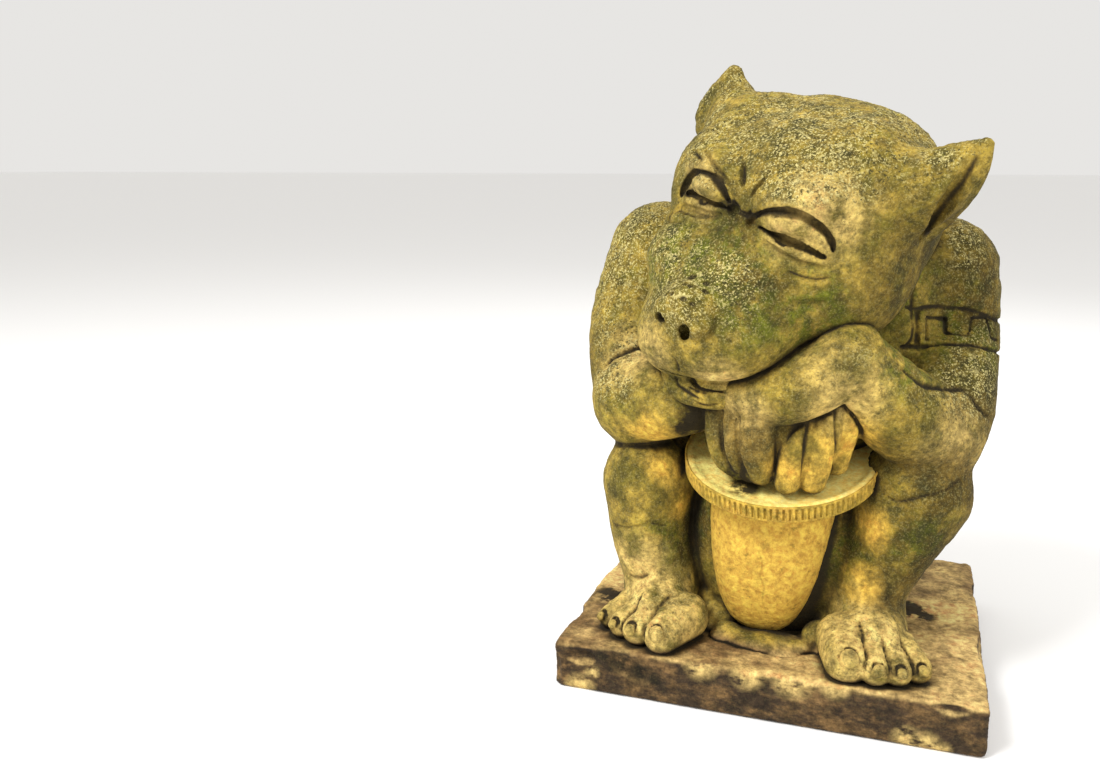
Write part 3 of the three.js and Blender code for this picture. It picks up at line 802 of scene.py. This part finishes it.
def lineShadeShare(places):  # painted shade along creases, fading beside them
    value = np.zeros(len(places))
    for line, reach, shadeStrength in allShadeMarks:
        most = reach.max()
        close = np.all((places > line.min(0) - most) & (places < line.max(0) + most), axis=1)
        chosen = np.nonzero(close)[0]
        around, share = places[chosen], np.zeros(len(chosen))
        for a, b, wide in zip(line[:-1], line[1:], reach):
            run = b - a
            t = np.clip((around - a) @ run / max(run @ run, 1e-9), 0, 1)
            away = np.linalg.norm(around - a - t[:, None] * run, axis=1)
            share = np.maximum(share, np.clip(1.1 - away / max(wide, 1e-3), 0, 1))
        value[chosen] = np.maximum(value[chosen], shadeStrength * share)
    return value


def headRoom(places):  # distance to the head
    inHead = toHead(places)
    outside = np.any((inHead < face.low) | (inHead > face.low + face.step * (face.count - 1)), axis=1)
    return np.where(outside, farAway, face.sample(inHead))


def creviceShare(name, places, normals):  # how closed in each point is, which sets the painted shade
    value = np.zeros(len(places))
    halfWidth, halfDepth = slab["size"][0] / 2, slab["size"][1] / 2
    for reach, share in shadeAndSky["reaches"]:
        out = places + normals * (reach + shadeAndSky["lift"].get(name, 0))
        room = np.minimum(np.minimum(near.sample(out), headRoom(out)), reach)
        if name != "slab":
            overSlab = (np.abs(out[:, 0]) < halfWidth) & (np.abs(out[:, 1]) < halfDepth)
            room = np.minimum(room, np.maximum(np.where(overSlab, out[:, 2], reach), 0))
        value += share * np.clip(1 - room / reach, 0, 1)
    return value * shadeAndSky["share"][name]


def skyShare(places, normals):  # how open to rain and light it is
    value = np.clip((normals[:, 2] + 0.25) / 0.8, 0, 1) * np.clip((places[:, 2] - 10) / 150, 0.05, 1)
    for rise in shadeAndSky["skyRises"]:
        above = places + (0, 0, rise)
        room = headRoom(above)
        besideFigure = above[:, 2] < shadeAndSky["figureTop"]
        room = np.where(besideFigure, np.minimum(room, near.sample(above)), room)
        value *= np.clip(room / 15, 0.15, 1)
    return value


def paint(piece):
    places = vertexPlaces(piece) * 1000 - (0, 0, slabTop)
    normals = vertexNormals(piece)
    marks, around = (faceSpots, toHead(places)) if piece.name == "head" else (spots, places)
    masks = {name: softSpots(around, marks.get(name, [])) for name in spots}
    masks["creviceShade"] = creviceShare(piece.name, places, normals)
    masks["shadeMarks"] = lineShadeShare(places)
    masks["upward"] = np.clip(normals[:, 2], -1, 1) * 0.5 + 0.5
    masks["exposed"] = skyShare(places, normals)
    masks["bare"] = np.full(len(places), 1.0 if piece.name == "drum" else 0.0)
    masks["base"] = np.full(len(places), 1.0 if piece.name == "slab" else 0.0)
    if piece.name == "body":  # earth lies against the lowest parts
        masks["base"] = np.clip(1.4 - places[:, 2] / 7, 0, 1)
    if piece.name == "drum":  # a bleached plate, greener at its left
        plate = np.clip((normals @ (lean @ (0, 0, 1)) - 0.8) * 8, 0, 1)
        green = np.clip(1 - np.abs(places[:, 2] - 172) / 26, 0, 1) * 0.8
        masks["paleAndLit"] = plate
        masks["moss"] = plate * np.clip((10 - places[:, 0]) / 60, 0, 0.5) + (1 - plate) * green
    for name, value in masks.items():
        layer = piece.data.attributes.new(name, "FLOAT", "POINT")
        layer.data.foreach_set("value", value.astype(np.float32))


for piece in pieces:
    paint(piece)
print("masks painted")


# The stone

stone = {
    "olive": (90, 80, 26),
    "ochre": (152, 128, 54),
    "green": (84, 90, 16),
    "cream": (214, 200, 132),
    "wornAndHighlight": (214, 184, 118),
    "dark": (52, 50, 22),
    "bare": (206, 166, 70),
    "buff": (210, 180, 112),
    "plate": (250, 224, 130),
    "brown": (112, 86, 54),
    "sand": (214, 182, 120),
    "umber": (50, 38, 27),
    "shade": (104, 86, 46),
    "nearBlack": (34, 28, 14),
}
washes = {  # shares of light, not tones
    "dampAndShade": (0.3, 0.27, 0.16, 1),
    "mottle": ((0.15, 0.15, 0.12, 1), (0.85, 0.85, 0.8, 1)),
    "fine": ((0.1, 0.1, 0.08, 1), (0.9, 0.9, 0.85, 1)),
}


def tone(name):
    return tuple(((v / 255 + 0.055) / 1.055) ** 2.4 for v in stone[name]) + (1,)


class Nodes:

    def __init__(self, material):
        self.tree = material.node_tree
        self.coords = self.add("ShaderNodeTexCoord").outputs["Object"]
        self.broad, self.middle = self.noise(9, 4), self.noise(34, 5, 0.65)
        self.mottle = self.noise(70, 5, 0.75)
        self.fine, self.grain = self.noise(150, 4, 0.7), self.noise(420, 3, 0.7)

    def add(self, kind, **settings):
        made = self.tree.nodes.new(kind)
        for key, value in settings.items():
            setattr(made, key, value)
        return made

    def feed(self, socket, value):
        if hasattr(value, "is_linked"):
            self.tree.links.new(value, socket)
        else:
            socket.default_value = value

    def noise(self, scale, detail=3, rough=0.6, stretch=None):
        made = self.add("ShaderNodeTexNoise")
        made.inputs["Scale"].default_value = scale
        made.inputs["Detail"].default_value = detail
        made.inputs["Roughness"].default_value = rough
        coords = self.coords
        if stretch:
            mapping = self.add("ShaderNodeMapping")
            mapping.inputs["Scale"].default_value = stretch
            self.feed(mapping.inputs["Vector"], self.coords)
            coords = mapping.outputs["Vector"]
        self.feed(made.inputs["Vector"], coords)
        return made.outputs["Fac"]

    def between(self, value, low, high):  # 0 below low, 1 above high, smooth
        made = self.add("ShaderNodeMapRange", interpolation_type="SMOOTHSTEP")
        self.feed(made.inputs["Value"], value)
        made.inputs["From Min"].default_value = low
        made.inputs["From Max"].default_value = high
        return made.outputs["Result"]

    def math(self, kind, a, b=0.0):
        made = self.add("ShaderNodeMath", operation=kind)
        self.feed(made.inputs[0], a)
        self.feed(made.inputs[1], b)
        return made.outputs[0]

    def times(self, a, b):
        return self.math("MULTIPLY", a, b)

    def plus(self, a, b):
        return self.math("ADD", a, b)

    def less(self, a, share, whole=1.0):  # whole, less a share of a
        return self.math("SUBTRACT", whole, self.times(a, share))

    def mask(self, name):
        return self.add("ShaderNodeAttribute", attribute_name=name).outputs["Fac"]

    def patchy(self, name, noise, low, high):  # a mask broken up by a noise
        return self.times(self.mask(name), self.between(noise, low, high))

    def blend(self, share, a, b, kind="MIX"):
        made = self.add("ShaderNodeMix", data_type="RGBA", blend_type=kind)
        self.feed(made.inputs[0], share)
        self.feed(made.inputs[6], a)
        self.feed(made.inputs[7], b)
        return made.outputs[2]

    def wash(self, colour, share, over, most, kind="MIX"):  # a colour laid over another
        return self.blend(self.times(share, most), colour, over, kind)


def castColour(n):  # figure and drum
    cloud = n.plus(n.times(n.middle, 0.6), n.times(n.broad, 0.4))
    colour = n.blend(n.between(cloud, 0.4, 0.6), tone("olive"), tone("ochre"))
    mossy = n.plus(n.mask("moss"), n.times(n.between(n.broad, 0.45, 0.7), 0.5))
    mossy = n.times(mossy, n.between(n.noise(48, 5, 0.7), 0.4, 0.62))
    colour = n.blend(n.math("MINIMUM", mossy, 0.85), colour, tone("green"))
    # buff over the pale spots: painted highlight on raised parts, and paler stone
    colour = n.wash(colour, n.patchy("paleAndLit", n.middle, 0.25, 0.6), tone("buff"), 0.85)
    # darker patches: painted shade on the far side, under the ears and arm and at the back, with dark damp
    # stone
    colour = n.wash(colour, n.patchy("dampAndShade", n.noise(22, 4), 0.2, 0.55), washes["dampAndShade"], 0.95, "MULTIPLY")
    clean = n.patchy("clean", n.noise(20, 4), 0.35, 0.6)
    clean = n.math("MAXIMUM", clean, n.patchy("bare", n.mottle, 0.2, 0.45))
    colour = n.blend(n.math("MINIMUM", clean, 0.95), colour, tone("bare"))
    bleached = n.times(n.mask("paleAndLit"), n.mask("bare"))
    colour = n.wash(colour, bleached, tone("plate"), 0.9)
    stain = n.times(n.mask("bare"), n.patchy("moss", n.middle, 0.35, 0.6))
    return n.wash(colour, stain, tone("green"), 0.6)


def slabColour(n):  # brown, the sides darker as painted shade, buff where worn and as a painted highlight along the top front edge
    sides = n.blend(n.between(n.noise(26, 5, 0.7, (1, 1, 2)), 0.42, 0.68), tone("umber"), tone("brown"))
    colour = n.blend(n.between(n.noise(12, 5, 0.6), 0.35, 0.65), tone("brown"), tone("sand"))
    # the top lighter and the sides darker by the way they face: painted light and shade
    colour = n.blend(n.between(n.mask("upward"), 0.55, 0.92), sides, colour)
    # worn stone low on the front, a painted highlight along the top front edge
    wornAndHighlight = n.patchy("wornAndHighlight", n.noise(40, 5, 0.65, (1, 1, 2)), 0.36, 0.52)
    colour = n.wash(colour, wornAndHighlight, tone("wornAndHighlight"), 0.85)
    return n.wash(colour, n.patchy("chip", n.noise(60, 5, 0.7), 0.35, 0.5), tone("nearBlack"), 0.85)


def weatheredStone():
    material = bpy.data.materials.new("weatheredStone")
    material.use_nodes = True
    n = Nodes(material)
    base = n.mask("base")
    colour = n.blend(base, castColour(n), slabColour(n))

    # dark and pale mottling all over
    even = n.less(n.mask("bare"), 0.4, 0.75)
    for share, noise, name in ((even, n.mottle, "mottle"), (0.5, n.fine, "fine")):
        colour = n.blend(share, colour, n.blend(n.between(noise, 0.25, 0.75), *washes[name]), "OVERLAY")
    weathered = n.times(n.less(n.math("MAXIMUM", n.mask("bare"), n.mask("clean")), 0.7), n.less(base, 0.8))
    blotch = n.times(n.between(n.noise(46, 6, 0.78), 0.53, 0.66), weathered)
    colour = n.wash(colour, blotch, tone("dark"), 0.65)

    # then cream lichen and dark specks on what is open to the sky
    exposed = n.times(n.patchy("exposed", n.noise(16, 3), 0.3, 0.55), n.less(base, 0.85))
    shade = n.times(exposed, n.between(n.noise(90, 5, 0.7), 0.46, 0.62))
    colour = n.wash(colour, shade, tone("dark"), 0.7)
    lichenHere = n.times(exposed, n.between(n.noise(24, 4, 0.6), 0.3, 0.6))
    lichenHere = n.math("MAXIMUM", lichenHere, n.mask("lichen"))
    patches = n.times(lichenHere, n.between(n.noise(120, 4, 0.7), 0.55, 0.68))
    colour = n.wash(colour, patches, tone("cream"), 0.7)
    lichen = n.between(n.noise(440, 2, 0.75), 0.51, 0.64)
    lichen = n.times(lichen, n.plus(lichenHere, n.times(weathered, 0.12)))
    colour = n.blend(n.math("MINIMUM", lichen, 0.85), colour, tone("cream"))
    specks = n.between(n.noise(300, 3, 0.65, (1, 1, 1.3)), 0.57, 0.66)
    specks = n.times(specks, n.plus(exposed, n.times(weathered, 0.4)))
    colour = n.blend(n.math("MINIMUM", specks, 0.85), colour, tone("dark"))

    # last painted shade in crevices and along creases, with grime
    shadeAndGrime = n.plus(n.mask("creviceShade"), n.patchy("grime", n.middle, 0.35, 0.6))
    shadeAndGrime = n.plus(shadeAndGrime, n.times(n.math("SUBTRACT", n.mottle, 0.5), 0.35))
    shadeAndGrime = n.plus(shadeAndGrime, n.times(n.mask("shadeMarks"), n.plus(n.times(n.mottle, 0.7), 0.35)))
    # painted shade: browner where shade and grime gather, near black in the deepest crevices and creases
    colour = n.wash(colour, n.between(shadeAndGrime, 0.12, 0.5), tone("shade"), 0.65, "MULTIPLY")
    colour = n.wash(colour, n.between(shadeAndGrime, 0.34, 0.66), tone("nearBlack"), 0.92)

    height = n.plus(n.times(n.fine, 0.8), n.times(n.grain, 0.4))
    height = n.plus(height, n.times(n.mottle, 0.6))
    height = n.plus(height, n.times(lichen, 0.25))
    height = n.math("SUBTRACT", height, n.times(specks, 0.3))
    bump = n.add("ShaderNodeBump")
    bump.inputs["Strength"].default_value = 0.8
    bump.inputs["Distance"].default_value = 0.0022
    n.feed(bump.inputs["Height"], height)

    shader = material.node_tree.nodes["Principled BSDF"]
    n.feed(shader.inputs["Base Color"], colour)
    n.feed(shader.inputs["Normal"], bump.outputs["Normal"])
    shader.inputs["Roughness"].default_value = 0.88
    shader.inputs["Specular IOR Level"].default_value = 0.25
    return material


stoneMaterial = weatheredStone()
for piece in pieces:
    piece.data.materials.clear()
    piece.data.materials.append(stoneMaterial)
    activate(piece)
    bpy.ops.object.shade_smooth()
    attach(piece, "root")
    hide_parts("gargoyle")
print("stone laid on")


# Floor, light and camera

studio = {
    "floorSize": 120,
    "floorColour": (0.93, 0.925, 0.915, 1),
    "skyColour": (1.0, 0.985, 0.96, 1),
    "skyStrength": 0.8,
    "lamps": [  # place, watts, size
        ((-1.5, -2.0, 2.7), 105, 1.1),
        ((2.0, -1.6, 1.7), 28, 1.8),
        ((0.3, 2.2, 2.4), 20, 1.8),
    ],
    "eye": (0.121, -1.1945, 0.572),
    "right": (0.9432, 0.3322, 0),
    "forward": (-0.3243, 0.9209, -0.2164),
    "focal": 1024 / 1100,  # as a share of the picture's width
    "film": 36,
}

bpy.ops.mesh.primitive_plane_add(size=studio["floorSize"], location=(0, 0, 0))
floor = bpy.context.object
floor.name = "floor"
paper = bpy.data.materials.new("palePaper")
paper.use_nodes = True
paper.node_tree.nodes["Principled BSDF"].inputs["Base Color"].default_value = studio["floorColour"]
paper.node_tree.nodes["Principled BSDF"].inputs["Roughness"].default_value = 0.9
floor.data.materials.append(paper)

world = bpy.data.worlds.new("studio")
bpy.context.scene.world = world
world.use_nodes = True
world.node_tree.nodes["Background"].inputs[0].default_value = studio["skyColour"]
world.node_tree.nodes["Background"].inputs[1].default_value = studio["skyStrength"]
for place, watts, size in studio["lamps"]:
    bpy.ops.object.light_add(type="AREA", location=place)
    lamp = bpy.context.object
    lamp.data.energy = watts
    lamp.data.size = size
    lamp.rotation_euler = (Vector((0, 0, 0.35)) - Vector(place)).to_track_quat("-Z", "Y").to_euler()

bpy.ops.object.camera_add()
camera = bpy.context.object
right, forward = Vector(studio["right"]), Vector(studio["forward"])
camera.matrix_world = Matrix((right, right.cross(forward), -forward)).transposed().to_4x4()
camera.location = studio["eye"]
camera.data.sensor_fit = "HORIZONTAL"
camera.data.sensor_width = studio["film"]
camera.data.lens = studio["film"] * studio["focal"]
bpy.context.scene.camera = camera
bpy.context.scene.view_settings.view_transform = "Standard"
print("studio set")
